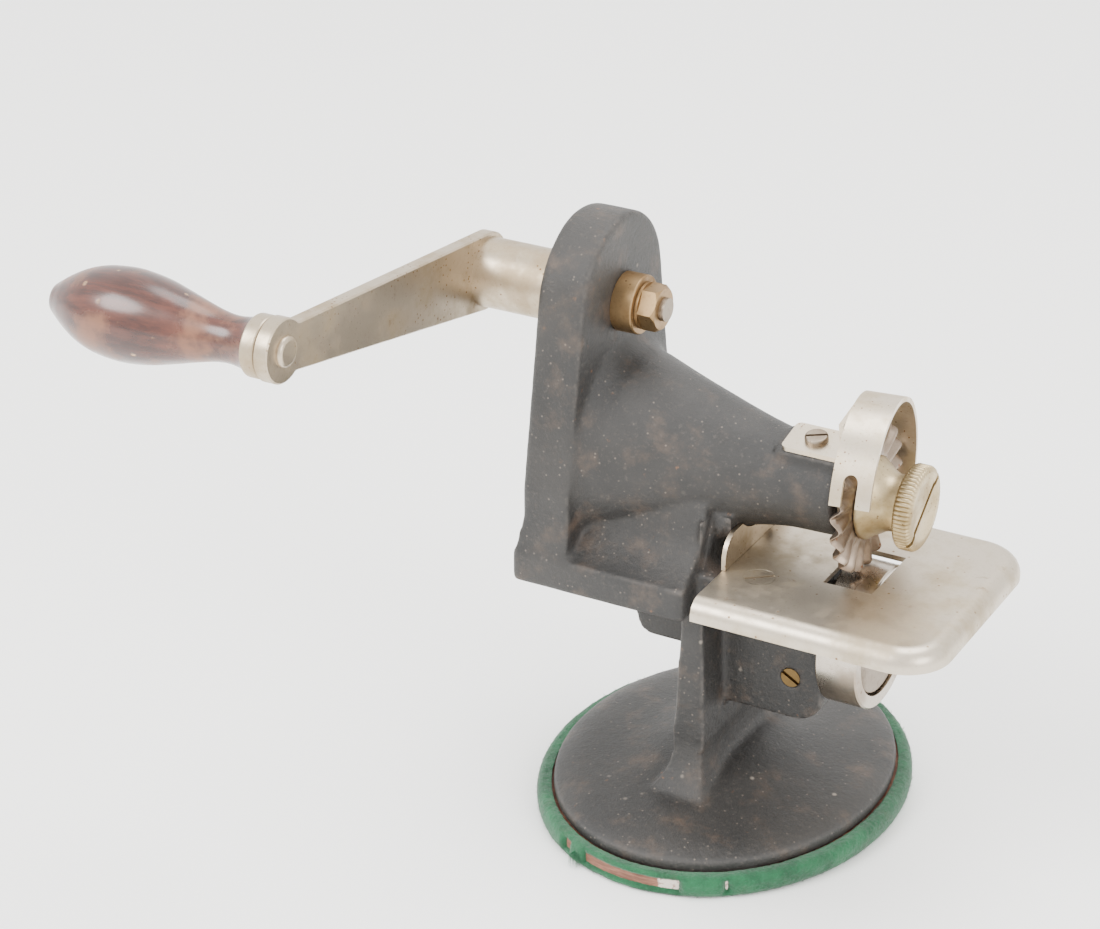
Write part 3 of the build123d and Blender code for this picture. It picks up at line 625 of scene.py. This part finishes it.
def board_edge():
    """Fibre board, stained brown, with a pale patch where the paper skin has torn."""
    material, tree, shader, place = new_material("stained_fibre_board")
    along = add(tree, "Mapping", {"Vector": place, "Scale": (0.3, 0.3, 2.2)}).outputs["Vector"]
    layers = cloud(tree, along, 1.2, 5.0, 0.7)
    colour = blend_colour(tree, window(tree, layers, 0.35, 0.7), "5c382b", "8a5f4b")
    side = add(tree, "SeparateXYZ", {"Vector": place}).outputs["X"]
    wander = times(tree, cloud(tree, place, 3.0), 0.004)
    ragged = add(tree, "Math", {0: wander, 1: side}, operation="ADD").outputs[0]
    pale = times(tree, window(tree, ragged, 0.010, 0.0105), window(tree, ragged, 0.0315, 0.031))
    scuffs = window(tree, cloud(tree, place, 1.4, 3.0), 0.52, 0.58)
    paper = blend_colour(tree, times(tree, scuffs, 0.8), "c9bdb2", "8a6a5c")
    colour = blend_colour(tree, pale, colour, paper)
    tree.links.new(colour, shader.inputs["Base Color"])
    shader.inputs["Roughness"].default_value = 0.7
    tree.links.new(relief(tree, layers, 0.1, 0.7), shader.inputs["Normal"])
    return material


felt_green = wool_felt()
paint(board_edge(), "base_board")

# %% [markdown]
# The sheet's outline is a smooth line through listed points, once for whole felt and once for felt worn back
# to the board. TORN lists the worn stretches in degrees round the oval, and the row of points fades from one
# outline to the other there, so the tear has ragged ends.

# %% Felt wrap
BOARD_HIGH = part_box("base_board")[1]
BOARD_A, BOARD_B = BOARD_HIGH[0] / MM, BOARD_HIGH[1] / MM
UNDERSIDE = 0.72  # height of the sheet's middle under the board, in mm
FELT_T = 1.35
TORN = [(-118.0, -113.0), (-107.0, -72.0), (-60.5, -57.5)]


def bare(angle):
    """How far the felt is worn away at this angle, from 0 to 1."""
    degrees = math.degrees(angle)
    degrees = degrees - 360 if degrees > 180 else degrees
    wobble = 1.6 * noise.noise(Vector((degrees * 0.35, 0, 0)))
    worn = 0.0
    for start, end in TORN:
        inside = min(degrees - start, end - degrees) + wobble
        worn = max(worn, min(max(inside / 1.6 + 0.4, 0.0), 1.0))
    return worn


def felt_row(angle):
    """The sheet's points at one angle: distance out from the board's edge, and height."""
    worn = bare(angle)
    rag = noise.noise(Vector((math.cos(angle) * 9, math.sin(angle) * 9, 3.0)))
    swell = 0.18 * noise.noise(Vector((math.cos(angle) * 4, math.sin(angle) * 4, 8.0)))
    full = [(-0.4, 0.72), (0.35, 0.85), (0.8, 1.5), (0.92, 2.3), (0.95, 3.1), (0.85, 3.9), (0.5, 4.7)]
    full += [(0.0, 5.15), (-0.7, 5.3), (-1.4, 5.3), (-1.95, 5.25), (-2.25, 5.2)]
    gone = [(-0.4, 0.72), (0.3 + 0.5 * rag, 0.74), (-0.5, 1.35), (-1.2, 2.3), (-1.2, 3.1), (-1.2, 3.9)]
    gone += [(-0.5, 4.95), (-0.1 + 0.4 * rag, 5.2), (-0.7, 5.3), (-1.4, 5.3), (-1.95, 5.25), (-2.25, 5.2)]
    row = []
    for k, ((d0, z0), (d1, z1)) in enumerate(zip(full, gone)):
        out = d0 + (d1 - d0) * worn
        lift = z0 + (z1 - z0) * worn
        edge = 1.0 if 1 < k < 9 else 0.0
        row.append((out + swell * edge * (1 - worn), lift))
    return through(row, 3)


def tufts(p):
    """Uneven wool on the parts of the felt that show."""
    if p.z < 0.5 * MM:
        return 0.0
    return noise.fractal(p * 900, 0.7, 2.0, 4) * 0.11 * MM + noise.noise(p * 260) * 0.10 * MM


def felt_wrap(steps=840):
    bm = bmesh.new()
    rows = []
    shrink = (0.25, 0.5, 0.75, 0.93)
    centre = bm.verts.new((0, 0, UNDERSIDE * MM))
    for i in range(steps):
        a = 2 * math.pi * i / steps
        row = []
        for k in shrink:
            x, y = BOARD_A * k * math.cos(a), BOARD_B * k * math.sin(a)
            row.append(bm.verts.new((x * MM, y * MM, UNDERSIDE * MM)))
        for out, z in felt_row(a):
            x, y = (BOARD_A + out) * math.cos(a), (BOARD_B + out) * math.sin(a)
            row.append(bm.verts.new((x * MM, y * MM, z * MM)))
        rows.append(row)
    for i in range(steps):
        here, there = rows[i], rows[(i + 1) % steps]
        bm.faces.new((centre, there[0], here[0]))
        for k in range(len(here) - 1):
            bm.faces.new((here[k], there[k], there[k + 1], here[k + 1]))
    bmesh.ops.recalc_face_normals(bm, faces=bm.faces)
    mesh = bpy.data.meshes.new("felt_wrap_sheet")
    bm.to_mesh(mesh)
    bm.free()
    piece = bpy.data.objects.new("felt_wrap_sheet", mesh)
    bpy.context.scene.collection.objects.link(piece)
    thick = piece.modifiers.new("felt_thickness", "SOLIDIFY")
    thick.thickness = FELT_T * MM
    thick.offset = 0.0
    depsgraph = bpy.context.evaluated_depsgraph_get()
    mesh = bpy.data.meshes.new_from_object(piece.evaluated_get(depsgraph))
    piece.modifiers.clear()
    piece.data = mesh
    push(mesh, tufts)
    for vertex in mesh.vertices:
        vertex.co.z = max(vertex.co.z, 0.0)
    for face in mesh.polygons:
        face.use_smooth = True
    mesh.materials.append(felt_green)
    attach(piece, "frame")
    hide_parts("felt_wrap")
    edge = felt_row(math.pi / 2)
    return piece


felt = felt_wrap()

# %% [markdown]
# Loose wool stands off the surface. Short curved hairs, a tenth of a millimetre thick, are scattered over the
# outer edge, with a torn wisp at the front left. They are one curve object.

# %% Loose fibres
def fibres(count=2600, seed=11):
    chance = random.Random(seed)
    curve = bpy.data.curves.new("felt_fibres", "CURVE")
    curve.dimensions = "3D"
    curve.bevel_depth = 0.05 * MM
    curve.bevel_resolution = 0
    curve.resolution_u = 3
    heights = [0.6, 1.2, 2.2, 3.4, 4.6, 5.4, 5.9]
    reach = [0.9, 1.35, 1.6, 1.55, 1.2, 0.5, -0.7]
    for _ in range(count):
        a = chance.uniform(-math.pi, math.pi)
        k = chance.randrange(len(heights))
        if bare(a) > 0.3 and 0 < k < 5:
            continue
        start = Vector(((BOARD_A + reach[k]) * math.cos(a), (BOARD_B + reach[k]) * math.sin(a), heights[k]))
        out = Vector((math.cos(a), math.sin(a), (k - 2.5) * 0.25)).normalized()
        side = Vector((-math.sin(a), math.cos(a), 0))
        length = chance.uniform(0.5, 1.5)
        drift = side * chance.uniform(-1, 1) + Vector((0, 0, chance.uniform(-0.4, 0.6)))
        points = [start - out * 0.3, start + out * 0.2 * length + drift * 0.3 * length,
                  start + out * 0.35 * length + drift * 0.9 * length]
        strand(curve, points)
    wisp_angle = math.radians(-110)
    root = Vector(((BOARD_A + 1.0) * math.cos(wisp_angle), (BOARD_B + 1.0) * math.sin(wisp_angle), 4.0))
    for _ in range(90):
        spread = Vector((chance.uniform(-1.6, 1.6), chance.uniform(-1.2, 0.2), 0))
        fall = chance.uniform(0.3, 1.0)
        end = root + spread + Vector((0.4, -2.0, -3.8)) * fall
        end.z = max(end.z, 0.15)
        strand(curve, [root + spread * 0.3, root + spread * 0.9 + Vector((0, -1.0, -0.6 * fall)), end])
    hair = bpy.data.objects.new("felt_fibres", curve)
    bpy.context.scene.collection.objects.link(hair)
    curve.materials.append(felt_green)
    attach(hair, "frame")
    return hair


def strand(curve, points):
    """One hair through three points, in mm."""
    line = curve.splines.new("POLY")
    line.points.add(len(points) - 1)
    for k, p in enumerate(points):
        line.points[k].co = (p.x * MM, p.y * MM, max(p.z, 0.1) * MM, 1)
        line.points[k].radius = 1.0 - 0.35 * k


hair = fibres()
print("felt fibres", len(hair.data.splines))
